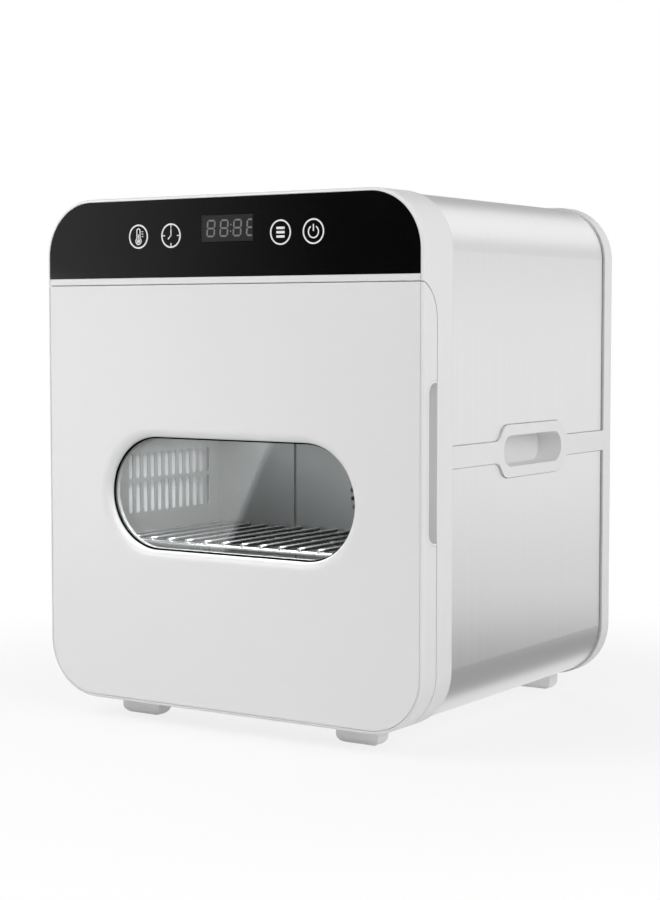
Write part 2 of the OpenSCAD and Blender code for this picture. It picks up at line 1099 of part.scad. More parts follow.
// Magnets behind the door liner.
module door_magnets() {
    color("dimgray")
        for (z = catch_z)
            block([catch_x, liner_y - magnet_t, z - catch_l / 2],
                [catch_x + catch_w, liner_y, z + catch_l / 2]);
}

// Front skin of the door with the flared lip of the window.
module door_front_skin() {
    color("white")
        difference() {
            union() {
                intersection() {
                    slab(0, edge_r)
                        outline(edge_r + groove);
                    beam(-body_w, body_w)
                        door_side(0);
                }
                slab(edge_r - fit_gap, lip_y)
                    oblong(boss_r);
            }
            slab(-over, lip_y + over)
                oblong(window_r);
            for (s = [-1, 1])
                translate([s * window_l, -body_d / 2, glass_z])
                    rotate([-90, 0, 0])
                        rotate_extrude()
                            flare();
            for (s = [0, 1])
                translate([0, -body_d / 2, glass_z])
                    rotate([0, 180 * s, 0])
                        rotate([90, 0, 90])
                            linear_extrude(2 * window_l, center = true)
                                mirror([1, -1])
                                    flare();
        }
}

// Profile of the flared lip: x is the distance from the window axis, y the depth.
module flare() {
    difference() {
        square([window_r + flare_r, flare_r]);
        translate([window_r + flare_r, flare_r])
            circle(flare_r);
    }
}

// White rim of the door behind the skin.
module door_shell() {
    color("whitesmoke")
        difference() {
            intersection() {
                front_blank();
                beam(-body_w, body_w)
                    door_side(0);
            }
            slab(edge_r - over, door_t + over)
                intersection() {
                    outline(door_wall);
                    band(z_low, bar_z);
                }
            door_relief();
            for (z = hinge_z) {
                knuckle_hollow(z, -hinge_l / 2 - fit_gap, hinge_l / 2 + fit_gap);
                leaf_pocket(z);
            }
            beam(side - grip_in - grip_t, side + over)
                grip_side(grip_t + fit_gap);
        }
}

// Space of a hinge leaf in the back of the door.
module leaf_pocket(z) {
    block([hinge_x, door_t - leaf_t, z - hinge_l / 2 - fit_gap],
        [hinge_x + leaf_w + fit_gap, door_t + over, z + hinge_l / 2 + fit_gap]);
}

// Inner panel of the door with the collar between the panes.
module door_liner() {
    color("gainsboro")
        difference() {
            union() {
                slab(liner_y, door_t)
                    intersection() {
                        outline(door_wall + fit_gap);
                        band(z_low, bar_z - fit_gap);
                    }
                slab(pane_y + pane_t + fit_gap, door_t)
                    oblong(collar_r + collar_t + 2);
            }
            slab(pane_y, door_t + over)
                oblong(collar_r);
            slab(liner_y, door_t + over)
                oblong(inner_r + fit_gap);
            for (z = hinge_z) {
                leaf_pocket(z);
                knuckle_hollow(z, -hinge_l / 2 - fit_gap, hinge_l / 2 + fit_gap);
            }
            beam(side - grip_in - grip_t - fit_gap, side + over)
                grip_side(grip_t + fit_gap);
        }
}

// Outer pane of the window.
module window_pane() {
    color([0.7, 0.8, 0.8, 0.4])
        slab(pane_y, pane_y + pane_t)
            oblong(pane_r);
}

// Inner pane, flush with the door liner.
module inner_pane() {
    color([0.7, 0.8, 0.8, 0.4])
        slab(liner_y, door_t)
            oblong(inner_r);
}

// Black ring between window lip and outer pane.
module window_gasket() {
    color("black")
        slab(lip_y, pane_y)
            difference() {
                oblong(pane_r);
                oblong(gasket_r);
            }
}

// Side view of the finger pull, open to the back of the door.
module grip_side(grow) {
    h = grip_l + 2 * grow;
    r = grip_r + grow;
    intersection() {
        translate([grip_y - grow, grip_z - h / 2])
            square([door_t - grip_y + grow, h]);
        translate([grip_y - grow + body_d / 2, grip_z])
            rounded(body_d, h, r);
    }
}

// Grey cup of the finger pull in the right edge of the door.
module door_grip() {
    color("darkgray")
        difference() {
            beam(side - grip_in - grip_t, side)
                grip_side(grip_t);
            beam(side - grip_in, side + over)
                grip_side(0);
        }
}

// Soft seal on the door liner that closes on the frame face.
module door_seal() {
    path = mouth_x + seal_off;
    height = mouth_top - mouth_low + 2 * seal_off;
    color("lightgray")
        translate([0, door_t - body_d / 2, (mouth_low + mouth_top) / 2])
            rotate([-90, 0, 0])
                ring_sweep(2 * path, height, mouth_r + seal_off) {
                    square([seal_t, seal_neck]);
                    translate([seal_t / 2, seal_neck])
                        circle(seal_t / 2);
                }
}

// Wire rack at the given level: frame, cross wires below, long wires above.
module rack(z) {
    r = wire_d / 2;
    count = floor((rack_x - rack_side) / wire_pitch);
    color("silver") {
        for (s = [-1, 1])
            rod_y(s * rack_x, z, r, rack_front - r, rack_back);
        for (k = [-count:count])
            rod_y(k * wire_pitch, z, r, rack_front - r, rack_back);
        for (y = [rack_front, (rack_front + rack_back) / 2, rack_back - wire_d])
            translate([-rack_x, y - body_d / 2, z - cross_drop])
                rotate([0, 90, 0])
                    cylinder(r = r, h = 2 * rack_x);
    }
}

module rack_lower() {
    rack(rack_z(0));
}

module rack_middle() {
    rack(rack_z(1));
}

module rack_upper() {
    rack(rack_z(2));
}

front_frame();
fascia_plate();
control_panel();
display_window();
display_module();
display_board();
touch_pads();
upper_wrap();
lower_wrap();
side_belt_left();
side_belt_right();
wrap_gasket();
rear_frame();
rear_cover();
rear_screws();
power_inlet();
inlet_pins();
feet();
chamber_shell();
left_air_panel();
right_air_panel();
left_rack_rails();
right_rack_rails();
chamber_back();
fan_cover();
rear_bulkhead();
fan_housing();
heater_ring();
fan_motor();
motor_shaft();
fan_impeller();
temperature_probe();
power_board();
board_parts();
board_standoffs();
frame_hinge_leaves();
hinge_pins();
door_strikes();
door_front_skin();
door_shell();
door_liner();
window_pane();
inner_pane();
window_gasket();
door_grip();
door_seal();
door_hinge_leaves();
door_magnets();
rack_lower();
rack_middle();
rack_upper();
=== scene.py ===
"""Looks of the benchtop hot-air sterilising cabinet: materials, printed signs, studio and camera."""
import json
import math

import bmesh
import bpy
from mathutils import Matrix, Vector

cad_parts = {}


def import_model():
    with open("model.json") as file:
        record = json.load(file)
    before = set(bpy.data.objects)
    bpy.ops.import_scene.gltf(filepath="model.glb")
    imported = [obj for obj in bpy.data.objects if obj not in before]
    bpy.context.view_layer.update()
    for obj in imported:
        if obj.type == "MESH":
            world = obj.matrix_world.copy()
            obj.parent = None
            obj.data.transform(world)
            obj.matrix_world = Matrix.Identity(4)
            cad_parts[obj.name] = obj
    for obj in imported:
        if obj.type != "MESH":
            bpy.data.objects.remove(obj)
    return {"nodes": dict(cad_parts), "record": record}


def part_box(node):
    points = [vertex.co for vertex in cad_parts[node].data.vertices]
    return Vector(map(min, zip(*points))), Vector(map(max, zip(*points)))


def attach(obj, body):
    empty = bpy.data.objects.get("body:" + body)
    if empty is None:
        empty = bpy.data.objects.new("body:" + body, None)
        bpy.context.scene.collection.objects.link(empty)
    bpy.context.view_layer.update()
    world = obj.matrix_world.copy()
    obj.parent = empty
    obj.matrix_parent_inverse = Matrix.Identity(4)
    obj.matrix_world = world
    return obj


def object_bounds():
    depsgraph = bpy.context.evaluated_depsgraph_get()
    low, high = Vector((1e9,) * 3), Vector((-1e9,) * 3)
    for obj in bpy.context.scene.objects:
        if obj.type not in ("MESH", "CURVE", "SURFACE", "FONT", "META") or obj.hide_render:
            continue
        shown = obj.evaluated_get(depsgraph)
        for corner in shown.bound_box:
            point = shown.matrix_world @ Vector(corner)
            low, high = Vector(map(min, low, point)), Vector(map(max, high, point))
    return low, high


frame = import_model()
cad_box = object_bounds()
nodes = frame["nodes"]

MM = 0.001

# Camera, solved from the outline and the seams of the photograph; lens and sensor in millimetres
CAMERA_PLACE = (0.84035, -1.29415, 0.30701)
CAMERA_TURN = math.radians(33.19)
CAMERA_TILT = math.radians(3.77)
CAMERA_LENS = 76.594
SENSOR = 36.0


# Node helpers; a noise value stays within its span

NOISE_SPAN = (0.2, 0.8)


class Nodes:
    """Short ways to add and link nodes in a tree."""

    def __init__(self, tree):
        self.tree = tree

    def add(self, kind, **values):
        """New node; a value goes to the setting of that name, or else to the input."""
        n = self.tree.nodes.new(kind)
        for key, value in values.items():
            if hasattr(n, key):
                setattr(n, key, value)
            else:
                n.inputs[key.replace("_", " ")].default_value = value
        return n

    def link(self, source, socket):
        """Feed a socket from another socket or with a plain number."""
        if isinstance(source, (int, float)):
            socket.default_value = source
        else:
            self.tree.links.new(source, socket)

    def math(self, operation, *sources):
        n = self.add("ShaderNodeMath", operation=operation)
        for source, socket in zip(sources, n.inputs):
            self.link(source, socket)
        return n.outputs[0]

    def ramp(self, source, span, low=0.0, high=1.0, kind="SMOOTHSTEP"):
        """A value that goes from low to high while the source goes through the span."""
        n = self.add("ShaderNodeMapRange", interpolation_type=kind)
        for key, value in zip(("From Min", "From Max", "To Min", "To Max"), (*span, low, high)):
            n.inputs[key].default_value = value
        self.link(source, n.inputs["Value"])
        return n.outputs["Result"]

    def axes(self, vector):
        """The X, Y and Z outputs of a vector."""
        n = self.add("ShaderNodeSeparateXYZ")
        self.link(vector, n.inputs[0])
        return n.outputs

    def between(self, factor, first, second):
        """A number between two, by a factor."""
        n = self.add("ShaderNodeMix")
        for source, k in ((factor, 0), (first, 2), (second, 3)):
            self.link(source, n.inputs[k])
        return n.outputs[0]

    def mix_shaders(self, factor, first, second):
        n = self.add("ShaderNodeMixShader")
        for source, socket in zip((factor, first, second), n.inputs):
            self.link(source, socket)
        return n.outputs[0]


class Shader(Nodes):
    """A new material with its Principled node."""

    def __init__(self, name):
        self.mat = bpy.data.materials.new(name)
        self.mat.use_nodes = True
        super().__init__(self.mat.node_tree)
        self.bsdf = self.tree.nodes["Principled BSDF"]
        self.out = self.tree.nodes["Material Output"]

    def set(self, **values):
        for key, value in values.items():
            self.bsdf.inputs[key.replace("_", " ")].default_value = value

    def drive(self, key, source):
        """Feed an input of the Principled node."""
        self.link(source, self.bsdf.inputs[key])

    def surface(self, source):
        self.link(source, self.out.inputs["Surface"])

    def place(self, stretch=(1, 1, 1)):
        """Object coordinates in metres, stretched per axis."""
        coord = self.add("ShaderNodeTexCoord")
        mapping = self.add("ShaderNodeMapping")
        mapping.inputs["Scale"].default_value = stretch
        self.link(coord.outputs["Object"], mapping.inputs["Vector"])
        return mapping.outputs["Vector"]

    def noise(self, scale, detail=3.0, stretch=(1, 1, 1)):
        n = self.add("ShaderNodeTexNoise", Scale=scale, Detail=detail)
        self.link(self.place(stretch), n.inputs["Vector"])
        return n.outputs["Fac"]

    def spread(self, source, low=0.0, high=1.0):
        """A noise value taken to the given range."""
        return self.ramp(source, NOISE_SPAN, low, high, "LINEAR")

    def tint(self, source, dark, light):
        """A colour between two, by a value from 0 to 1."""
        n = self.add("ShaderNodeMix", data_type="RGBA")
        n.inputs[6].default_value = (*dark, 1)
        n.inputs[7].default_value = (*light, 1)
        self.link(source, n.inputs[0])
        return n.outputs[2]

    def gloss(self, source, rough, less, more):
        """Roughness that varies with a noise value between two shares of itself."""
        self.drive("Roughness", self.spread(source, rough * less, rough * more))

    def paint(self, source, colour, dark):
        """Colour that varies with a noise value, down to a share of itself."""
        self.drive("Base Color", self.tint(self.spread(source), shade(colour, dark), colour))

    def bump(self, source, strength, distance, edge=0.0):
        """Relief from a noise value; edge is the radius to which sharp edges are softened."""
        n = self.add("ShaderNodeBump", Strength=strength, Distance=distance)
        self.link(source, n.inputs["Height"])
        if edge:
            soft = self.add("ShaderNodeBevel", samples=6, Radius=edge)
            self.link(soft.outputs["Normal"], n.inputs["Normal"])
        self.drive("Normal", n.outputs["Normal"])


def grey(level):
    return (level, level, level)


def shade(colour, factor):
    return tuple(c * factor for c in colour)


# Materials; brush lines are given as noise cells per metre along X, Y and Z

FINE_RELIEF = 0.1 * MM
RELIEF = 0.2 * MM
SOFT_EDGE = 0.6 * MM
LINES_ROUND = (6, 460, 6)
LINES_UPRIGHT = (2600, 2600, 8)
LINE_SHARE = 0.75
DUCT_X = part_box("right_air_panel")[0][0]
# Span over which the chamber sheet turns from its own tone to the painted light of its air ducts
PAINTED_DUCT_SPAN = (DUCT_X, DUCT_X + 1 * MM)
# The rack wire's painted highlight covers the first millimetres behind its front
RACK_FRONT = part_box("rack_middle")[0][1] + 3 * MM
FRONT_HIGHLIGHT_SPAN = (RACK_FRONT, RACK_FRONT + 6 * MM)


def moulding(name, colour, rough, edge=SOFT_EDGE):
    """Moulded plastic: fine grain, slightly uneven gloss and tone."""
    s = Shader(name)
    cloud = s.noise(scale=5.0, detail=0.0)
    s.gloss(cloud, rough, less=0.95, more=1.05)
    s.paint(cloud, colour, dark=0.99)
    s.bump(s.noise(scale=1800.0, detail=2.0), strength=0.05, distance=FINE_RELIEF, edge=edge)
    s.set(IOR=1.46)
    return s.mat


def brushed(name, colour, rough, stretch, strength, circled=None, dark=0.94):
    """Brushed steel: long fine lines in one direction; circled names the axis that they go round."""
    s = Shader(name)
    lines = s.noise(scale=1.0, detail=4.0, stretch=stretch)
    cloud_part = s.math("MULTIPLY", s.noise(scale=9.0), 1 - LINE_SHARE)
    uneven = s.math("MULTIPLY_ADD", lines, LINE_SHARE, cloud_part)
    s.gloss(uneven, rough, less=0.92, more=1.08)
    s.paint(lines, colour, dark)
    s.bump(lines, strength, distance=FINE_RELIEF)
    s.set(Metallic=1.0)
    if circled:
        tangent = s.add("ShaderNodeTangent", direction_type="RADIAL", axis=circled)
        s.drive("Tangent", tangent.outputs[0])
        s.set(Anisotropic=0.8, Anisotropic_Rotation=0.25)
    return s.mat


def shell_sheet(name, inner, duct_painted_light, rough):
    """Satin sheet of the chamber: plain towards the goods, and paler as painted light in the air ducts at
    its sides, so that the slots look light although the ducts lie in shade.
    """
    s = Shader(name)
    s.gloss(s.noise(scale=9.0), rough, less=0.9, more=1.1)
    across = s.math("ABSOLUTE", s.axes(s.place())["X"])
    # Painted light: paler in the air ducts at the sides, where shade falls
    s.drive("Base Color", s.tint(s.ramp(across, PAINTED_DUCT_SPAN, kind="LINEAR"), inner, duct_painted_light))
    lines = s.noise(scale=1.0, detail=4.0, stretch=LINES_UPRIGHT)
    s.bump(lines, strength=0.05, distance=FINE_RELIEF)
    s.set(Metallic=1.0)
    return s.mat


def polished(name, colour, rough):
    """Polished or plated metal with faint wipe marks."""
    s = Shader(name)
    cloud = s.noise(scale=40.0, detail=4.0)
    s.gloss(cloud, rough, less=0.85, more=1.15)
    s.paint(cloud, colour, dark=0.96)
    s.bump(s.noise(scale=120.0), strength=0.01, distance=RELIEF)
    s.set(Metallic=1.0)
    return s.mat


def rack_wire(name, front_highlight, dull, rough):
    """Plated wire with a painted highlight along the front, where light from the front falls on it, and
    painted shade, a dark tone, further in.
    """
    s = Shader(name)
    s.gloss(s.noise(scale=40.0, detail=4.0), rough, less=0.7, more=1.3)
    # Painted highlight at the front, painted shade further in
    depth = s.ramp(s.axes(s.place())["Y"], FRONT_HIGHLIGHT_SPAN)
    s.drive("Base Color", s.tint(depth, front_highlight, dull))
    s.bump(s.noise(scale=120.0), strength=0.03, distance=RELIEF)
    s.set(Metallic=1.0)
    return s.mat


def gloss_black(name, colour, rough):
    """Hard black panel with a clear face."""
    s = Shader(name)
    cloud = s.noise(scale=22.0, detail=4.0)
    s.gloss(cloud, rough, less=0.7, more=1.4)
    s.paint(cloud, colour, dark=0.8)
    s.bump(s.noise(scale=700.0, detail=2.0), strength=0.01, distance=FINE_RELIEF)
    s.set(IOR=1.5, Coat_Weight=0.3, Coat_Roughness=0.04)
    return s.mat


def rubber(name, colour, sheen=0.5):
    """Matte rubber, silicone or dull metal."""
    s = Shader(name)
    cloud = s.noise(scale=60.0, detail=4.0)
    s.drive("Roughness", s.spread(cloud, low=0.55, high=0.8))
    s.paint(cloud, colour, dark=0.8)
    s.bump(s.noise(scale=2500.0, detail=2.0), strength=0.15, distance=RELIEF)
    s.set(Specular_IOR_Level=sheen)
    return s.mat


def laminate(name, colour):
    """Circuit board with a woven tone."""
    s = Shader(name)
    weave = s.noise(scale=500.0)
    s.drive("Roughness", s.spread(weave, low=0.35, high=0.55))
    s.paint(weave, colour, dark=0.6)
    s.bump(weave, strength=0.1, distance=RELIEF)
    return s.mat


def clear_glass(name, colour):
    """Pane that lamps shine through, with a faint film on it."""
    s = Shader(name)
    s.drive("Roughness", s.spread(s.noise(scale=7.0, detail=4.0), low=0.0, high=0.03))
    s.set(Base_Color=(*colour, 1), Transmission_Weight=1.0, IOR=1.45)
    path = s.add("ShaderNodeLightPath").outputs
    through = s.add("ShaderNodeBsdfTransparent").outputs[0]
    s.surface(s.mix_shaders(path["Is Shadow Ray"], s.bsdf.outputs[0], through))
    return s.mat


MATERIALS = {
    "white_shell": moulding("white_shell", grey(0.80), 0.34),
    "white_front": moulding("white_front", grey(0.82), 0.26),
    "black_panel": gloss_black("black_panel", grey(0.003), 0.08),
    "smoked_window": gloss_black("smoked_window", grey(0.03), 0.08),
    "digit_block": rubber("digit_block", grey(0.12)),
    "circuit_board": laminate("circuit_board", (0.02, 0.16, 0.06)),
    "bright_metal": polished("bright_metal", grey(0.66), 0.32),
    "brushed_wrap": brushed("brushed_wrap", grey(0.85), 0.30, LINES_ROUND, 0.10, circled="Y", dark=0.945),
    "black_rubber": rubber("black_rubber", grey(0.004), sheen=0.03),
    "grey_cover": moulding("grey_cover", grey(0.55), 0.5),
    "black_plastic": moulding("black_plastic", grey(0.02), 0.45),
    "brass_contact": polished("brass_contact", (0.68, 0.52, 0.24), 0.25),
    "chamber_steel": brushed("chamber_steel", grey(0.46), 0.4, LINES_UPRIGHT, 0.1),
    # The pale tone of this sheet is painted light in its air ducts, which lie in shade behind the slotted
    # panels
    "pale_sheet": shell_sheet("pale_sheet", grey(0.30), grey(0.78), 0.75),
    "polished_steel": brushed("polished_steel", grey(0.40), 0.38, LINES_UPRIGHT, 0.02),
    "sheet_metal": polished("sheet_metal", grey(0.5), 0.4),
    "dark_metal": rubber("dark_metal", grey(0.06), sheen=0.3),
    "clear_glass": clear_glass("clear_glass", (0.93, 0.95, 0.95)),
    # The grip's grey is lifted almost to white as painted light, making up for the shade of the recess it
    # sits in
    "grey_grip": moulding("grey_grip", grey(0.86), 0.42),
    "grey_seal": rubber("grey_seal", grey(0.35)),
    # Light front tone: painted highlight; dark tone further in: painted shade
    "rack_wire": rack_wire("rack_wire", grey(0.85), grey(0.09), 0.24),
    # The feet's white is lifted above the shell's as painted light, making up for the shade under the
    # cabinet
    "foot_painted_light": moulding("foot_painted_light", grey(0.93), 0.4),
    "panel_print": moulding("panel_print", grey(0.85), 0.5, edge=0.0),
    "digit_dim": moulding("digit_dim", grey(0.20), 0.4, edge=0.0),
}


def dress(obj, name):
    obj.data.materials.clear()
    obj.data.materials.append(MATERIALS[name])


for sub in frame["record"]["subparts"]:
    dress(nodes[sub["node"]], sub["material_slot"])
# Feet get the lifted white: painted light against the shade under the cabinet
dress(nodes["feet"], "foot_painted_light")


# Printed signs on the control panel, as thin films in the panel plane

PRINT_T = 0.12 * MM
WELD = 1e-7


class Film:
    """Flat shapes in the plane of a front face, raised by the print's thickness."""

    def __init__(self, y):
        self.bm = bmesh.new()
        self.y = y

    def face(self, points):
        """Closed prism over a list of (x, z) points given in order."""
        front = [self.bm.verts.new((x, self.y - PRINT_T, z)) for x, z in points]
        back = [self.bm.verts.new((x, self.y, z)) for x, z in points]
        self.bm.faces.new(front)
        self.bm.faces.new(back[::-1])
        for k in range(len(points)):
            n = (k + 1) % len(points)
            self.bm.faces.new((front[n], front[k], back[k], back[n]))

    def arc(self, x, z, r, w, a0=0.0, a1=360.0, parts=48):
        """Band of width w along a circle from angle a0 to a1."""
        inner, outer = r - w / 2, r + w / 2
        step = math.radians(a1 - a0) / parts
        for k in range(parts):
            a, b = math.radians(a0) + k * step, math.radians(a0) + (k + 1) * step
            ends = [(inner, a), (outer, a), (outer, b), (inner, b)]
            self.face([(x + q * math.cos(t), z + q * math.sin(t)) for q, t in ends])

    def open_ring(self, x, z, r, w, gap, parts=48):
        """Band along a circle that is open at the top by the gap's angle to either side."""
        self.arc(x, z, r, w, 90 + gap, 450 - gap, parts)

    def disc(self, x, z, r, parts=32):
        turn = 2 * math.pi / parts
        self.face([(x + r * math.cos(k * turn), z + r * math.sin(k * turn)) for k in range(parts)])

    def bar(self, x0, z0, x1, z1, w):
        """Straight stroke of width w between two points."""
        d = Vector((x1 - x0, z1 - z0)).normalized() * w / 2
        right = [(x0 + d.y, z0 - d.x), (x1 + d.y, z1 - d.x)]
        left = [(x1 - d.y, z1 + d.x), (x0 - d.y, z0 + d.x)]
        self.face(right + left)

    def build(self, name, body, slot, mat):
        bmesh.ops.remove_doubles(self.bm, verts=self.bm.verts, dist=WELD)
        bmesh.ops.recalc_face_normals(self.bm, faces=self.bm.faces)
        mesh = bpy.data.meshes.new(name)
        self.bm.to_mesh(mesh)
        self.bm.free()
        obj = bpy.data.objects.new(name, mesh)
        bpy.context.collection.objects.link(obj)
        dress(obj, mat)
        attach(obj, body)


PANEL_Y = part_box("control_panel")[0][1]
pads_low, pads_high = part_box("touch_pads")
KEY_Z = (pads_low[2] + pads_high[2]) / 2
KEY_X = [x * MM for x in (-79.5, -48.4, 51.3, 79.8)]
RING_R = 8.6 * MM
STROKE = 1.15 * MM
THIN = 0.8 * MM


def ring_sign(x):
    """Film with the ring that every sign has."""
    film = Film(PANEL_Y)
    film.arc(x, KEY_Z, RING_R, STROKE)
    return film


def thermometer_sign(x):
    """Bulb and stem in outline, with a filled column and three ticks beside it."""
    film = ring_sign(x)
    stem_r = 1.5 * MM
    bulb_r = 2.5 * MM
    neck = 38
    bulb_z, neck_z, fill_z, top_z = (KEY_Z + z * MM for z in (-3.4, -1.5, 1.5, 4.4))
    tick_x0, tick_x1 = x + 3 * MM, x + 4.6 * MM
    tick_pitch = 1.8 * MM
    tick_w = 0.6 * MM
    film.disc(x, bulb_z, stem_r)
    film.open_ring(x, bulb_z, bulb_r, THIN, neck)
    for side in (x - stem_r, x + stem_r):
        film.bar(side, neck_z, side, top_z, THIN)
    film.arc(x, top_z, stem_r, THIN, 0, 180, 16)
    film.bar(x, bulb_z, x, fill_z, THIN)
    for k in range(3):
        tick_z = KEY_Z + k * tick_pitch
        film.bar(tick_x0, tick_z, tick_x1, tick_z, tick_w)
    film.build("sign_temperature", "cabinet", "white_front", "panel_print")


def clock_sign(x):
    """Four hour marks and two hands."""
    film = ring_sign(x)
    mark_in, mark_out = 5.6 * MM, 8.2 * MM
    tail, long_hand = 0.4 * MM, 5 * MM
    hub, short_x, short_z = 0.2 * MM, 2.9 * MM, 2.7 * MM
    for quarter in range(4):
        a = math.radians(90 * quarter)
        film.bar(x + mark_in * math.cos(a), KEY_Z + mark_in * math.sin(a),
                 x + mark_out * math.cos(a), KEY_Z + mark_out * math.sin(a), THIN)
    film.bar(x, KEY_Z - tail, x, KEY_Z + long_hand, THIN)
    film.bar(x, KEY_Z + hub, x - short_x, KEY_Z - short_z, THIN)
    film.build("sign_time", "cabinet", "white_front", "panel_print")


def programme_sign(x):
    """Three stacked bars."""
    film = ring_sign(x)
    half_w = 3.6 * MM
    pitch = 3.1 * MM
    thick = 1.7 * MM
    for k in (-1, 0, 1):
        z = KEY_Z + k * pitch
        film.bar(x - half_w, z, x + half_w, z, thick)
    film.build("sign_programme", "cabinet", "white_front", "panel_print")


def power_sign(x):
    """Open ring with an upright stroke through the gap."""
    film = ring_sign(x)
    thick = THIN * 1.2
    ring_z, ring_r, gap = KEY_Z - 0.3 * MM, 4.3 * MM, 32
    stroke_low, stroke_high = KEY_Z + 0.2 * MM, KEY_Z + 5.2 * MM
    film.open_ring(x, ring_z, ring_r, thick, gap, parts=40)
    film.bar(x, stroke_low, x, stroke_high, thick)
    film.build("sign_power", "cabinet", "white_front", "panel_print")


for sign, place in zip((thermometer_sign, clock_sign, programme_sign, power_sign), KEY_X):
    sign(place)


# Unlit seven-segment digits on the display window

window_low, window_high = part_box("display_window")
DIGIT_COUNT = 4
DIGIT_H = 11.5 * MM
DIGIT_W = 6.5 * MM
DIGIT_IN = 5.0 * MM
DIGIT_PITCH = 12.0 * MM
DIGIT_LEAN = 0.08
SEGMENT = 1.25 * MM
SEGMENT_GAP = 0.35 * MM
EDGE_GAP = 0.3 * MM
COLON_R = 0.6 * MM
COLON_HALF = 2.4 * MM
COLON_AFTER = 2


def segment(film, x0, z0, x1, z1):
    """One stroke of a digit with pointed ends."""
    d = Vector((x1 - x0, z1 - z0)).normalized()
    n = Vector((d.y, -d.x)) * SEGMENT / 2
    a = Vector((x0, z0)) + d * SEGMENT_GAP
    b = Vector((x1, z1)) - d * SEGMENT_GAP
    tip = d * SEGMENT / 2
    film.face([tuple(p) for p in (a, a + tip + n, b - tip + n, b, b - tip - n, a + tip - n)])


def display_digits():
    """Four digits; the last one runs under the right edge of the window, as in the photograph."""
    film = Film(window_low[1])
    low_z = (window_low[2] + window_high[2]) / 2 - DIGIT_H / 2
    half, top = low_z + DIGIT_H / 2, low_z + DIGIT_H
    edge = window_high[0] - EDGE_GAP

    def lean(x, z):
        return min(x + DIGIT_LEAN * (z - low_z), edge), z

    for k in range(DIGIT_COUNT):
        x0 = window_low[0] + DIGIT_IN + k * DIGIT_PITCH
        x1 = x0 + DIGIT_W
        for z in (low_z, half, top):
            segment(film, *lean(x0, z), *lean(x1, z))
        for x in (x0, x1):
            if x < edge:
                segment(film, *lean(x, low_z), *lean(x, half))
                segment(film, *lean(x, half), *lean(x, top))
    colon = window_low[0] + DIGIT_IN + COLON_AFTER * DIGIT_PITCH - (DIGIT_PITCH - DIGIT_W) / 2
    for z in (half - COLON_HALF, half + COLON_HALF):
        film.disc(lean(colon, z)[0], z, COLON_R, 16)
    film.build("display_digits", "cabinet", "smoked_window", "digit_dim")


display_digits()


# Floor: what the camera sees, and what gloss mirrors of it; spans are in metres

FLOOR_SIZE = 24.0
FLOOR_COLOUR = (0.88, 0.88, 0.88, 1)
SHADE_SPAN = (0.22, 0.62)
SHADE_SHARE = 0.22
EDGE_X = cad_box[1][0]
UNDER_SPAN = (EDGE_X - 1 * MM, EDGE_X + 7 * MM)
MID_SPAN = (0.28, 0.85)
FAR_SPAN = (0.85, 2.5)
FLOOR_UNDER = 0.9
FLOOR_LOW = 0.42
FLOOR_MID = 0.84
FLOOR_FAR = 1.0
FRONT_SPAN = (-0.7, 0.0)
AROUND_SPAN = (0.7, 1.6)
FLOOR_FRONT = 0.02
FLOOR_AROUND = 0.5


def floor():
    """White floor that keeps a soft shadow near the object and runs out into plain white."""
    mesh = bpy.data.meshes.new("floor")
    h = FLOOR_SIZE / 2
    mesh.from_pydata([(-h, -h, 0), (h, -h, 0), (h, h, 0), (-h, h, 0)], [], [(0, 1, 2, 3)])
    obj = bpy.data.objects.new("floor", mesh)
    bpy.context.collection.objects.link(obj)

    s = Shader("floor")
    s.set(Base_Color=FLOOR_COLOUR, Roughness=0.7)
    path = s.add("ShaderNodeLightPath").outputs
    place = s.place()
    length = s.add("ShaderNodeVectorMath", operation="LENGTH")
    s.link(place, length.inputs[0])
    reach = length.outputs["Value"]
    fade = s.ramp(reach, SHADE_SPAN, 1 - SHADE_SHARE, 1.0)
    glow = s.add("ShaderNodeEmission").outputs[0]
    seen = s.mix_shaders(s.math("MULTIPLY", path["Is Camera Ray"], fade), s.bsdf.outputs[0], glow)

    axes = s.axes(place)
    level = s.ramp(s.math("ABSOLUTE", axes["X"]), UNDER_SPAN, FLOOR_UNDER, FLOOR_LOW)
    for span, rise in ((MID_SPAN, FLOOR_MID - FLOOR_LOW), (FAR_SPAN, FLOOR_FAR - FLOOR_MID)):
        level = s.math("ADD", level, s.ramp(reach, span, 0.0, rise))
    level = s.math("MINIMUM", level, FLOOR_FAR)
    behind = s.ramp(axes["Y"], FRONT_SPAN, FLOOR_FRONT, 1.0)
    around = s.ramp(reach, AROUND_SPAN, FLOOR_AROUND, FLOOR_FRONT)
    level = s.math("MULTIPLY", level, s.math("MAXIMUM", behind, around))
    mirror = s.add("ShaderNodeEmission")
    s.link(level, mirror.inputs["Strength"])
    s.surface(s.mix_shaders(path["Is Glossy Ray"], seen, mirror.outputs[0]))
    mesh.materials.append(s.mat)


# World: white to the camera, soft light, and a room for gloss to mirror; spans are parts of a direction

WORLD_LIGHT = 0.24
DEPTH_SPAN = (-0.6, 0.3)
GLOSS_FRONT = 0.02
GLOSS_BACK = 1.03
LEFT_SPAN = (-0.075, -0.05)
GLOSS_LEFT = 0.43
HORIZON_SPAN = (0.0, 0.045)
GLOSS_LEVEL = 1.03
GLOSS_LOW = 0.83
HIGH_SPAN = (0.16, 0.40)
GLOSS_HIGH = 1.08
CORNER_SPAN = (-0.72, -0.53)
GLOSS_CORNER = 0.6
RIGHT_SPAN = (0.1, 0.5)
GLOSS_RIGHT = 0.45
FORWARD_SPAN = (-0.3, 0.0)


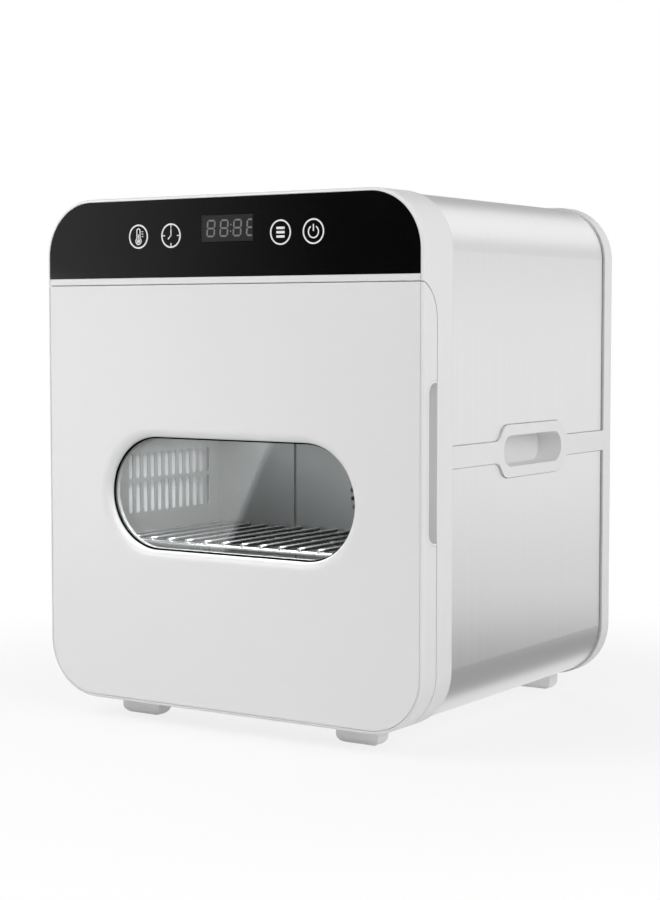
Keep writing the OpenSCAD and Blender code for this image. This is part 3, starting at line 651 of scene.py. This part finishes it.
def world():
    """White behind the object; for gloss a room, dark in front and pale behind and at its sides."""
    studio = bpy.data.worlds.new("studio")
    bpy.context.scene.world = studio
    studio.use_nodes = True
    w = Nodes(studio.node_tree)
    axes = w.axes(w.add("ShaderNodeTexCoord").outputs["Generated"])
    x, y, z = axes["X"], axes["Y"], axes["Z"]

    depth = w.ramp(y, DEPTH_SPAN, GLOSS_FRONT, GLOSS_BACK)
    room = w.math("MULTIPLY", depth, w.ramp(x, LEFT_SPAN, GLOSS_LEFT, 1.0))
    low = w.ramp(z, HORIZON_SPAN, GLOSS_LEVEL, GLOSS_LOW)
    high = w.ramp(z, HIGH_SPAN, 0.0, GLOSS_HIGH - GLOSS_LOW)
    sky = w.math("MULTIPLY", room, w.math("ADD", low, high))
    corner = w.ramp(x, CORNER_SPAN, GLOSS_CORNER, 0.0)
    right = w.ramp(x, RIGHT_SPAN, 0.0, GLOSS_RIGHT)
    forward = w.ramp(y, FORWARD_SPAN, 1.0, 0.0)
    mirrored = w.math("MULTIPLY_ADD", w.math("ADD", corner, right), forward, sky)

    path = w.add("ShaderNodeLightPath").outputs
    unseen = w.between(path["Is Glossy Ray"], WORLD_LIGHT, mirrored)
    seen = w.math("MAXIMUM", path["Is Camera Ray"], path["Is Transmission Ray"])
    back = studio.node_tree.nodes["Background"]
    back.inputs["Color"].default_value = (1, 1, 1, 1)
    w.link(w.between(seen, unseen, 1.0), back.inputs["Strength"])


# Lamps and camera

MIDDLE = (0, 0, 0.2)


def lamp(name, place, size, power, target=MIDDLE, roll=0.0, spread=180.0, mirrored=True):
    """Rectangular lamp that the camera does not see; mirrored says whether gloss shows it."""
    data = bpy.data.lights.new(name, "AREA")
    data.shape = "RECTANGLE"
    data.size, data.size_y = size
    data.energy = power
    data.spread = math.radians(spread)
    obj = bpy.data.objects.new(name, data)
    obj.location = place
    aim = (Vector(target) - Vector(place)).to_track_quat("-Z", "Y").to_matrix()
    obj.rotation_euler = (aim @ Matrix.Rotation(math.radians(roll), 3, "Z")).to_euler()
    obj.visible_camera = False
    obj.visible_glossy = mirrored
    bpy.context.collection.objects.link(obj)


def lamps():
    """Soft boxes round the object, a panel that the window mirrors and a lamp in the chamber."""
    lamp("softbox_front", (-0.95, -1.15, 1.35), (1.2, 1.2), 15.6, roll=20)
    lamp("softbox_right", (2.3, -0.6, 1.2), (1.8, 1.8), 33, mirrored=False)
    lamp("softbox_top", (0, -0.6, 2.4), (2.0, 2.0), 6)
    lamp("fill_low", (0.7, -2.6, 0.3), (1.2, 0.5), 1.3, target=(0, 0, 0.05))
    lamp("veil_panel", (-0.66, -0.83, 0.1535), (0.32, 0.32), 0.45, target=(0, -0.144, 0.1785), roll=-23)
    lamp("chamber_lamp", (0, -0.03, 0.216), (0.24, 0.12), 0.62, target=(0, -0.03, 0), spread=160)
    lamp("softbox_back", (-1.6, 1.9, 1.4), (1.5, 1.5), 16, mirrored=False)


def camera():
    data = bpy.data.cameras.new("camera")
    data.lens = CAMERA_LENS
    data.sensor_width = SENSOR
    obj = bpy.data.objects.new("camera", data)
    obj.location = CAMERA_PLACE
    obj.rotation_euler = (math.pi / 2 - CAMERA_TILT, 0, CAMERA_TURN)
    bpy.context.collection.objects.link(obj)
    bpy.context.scene.camera = obj


floor()
world()
lamps()
camera()
bpy.context.scene.view_settings.view_transform = "Standard"
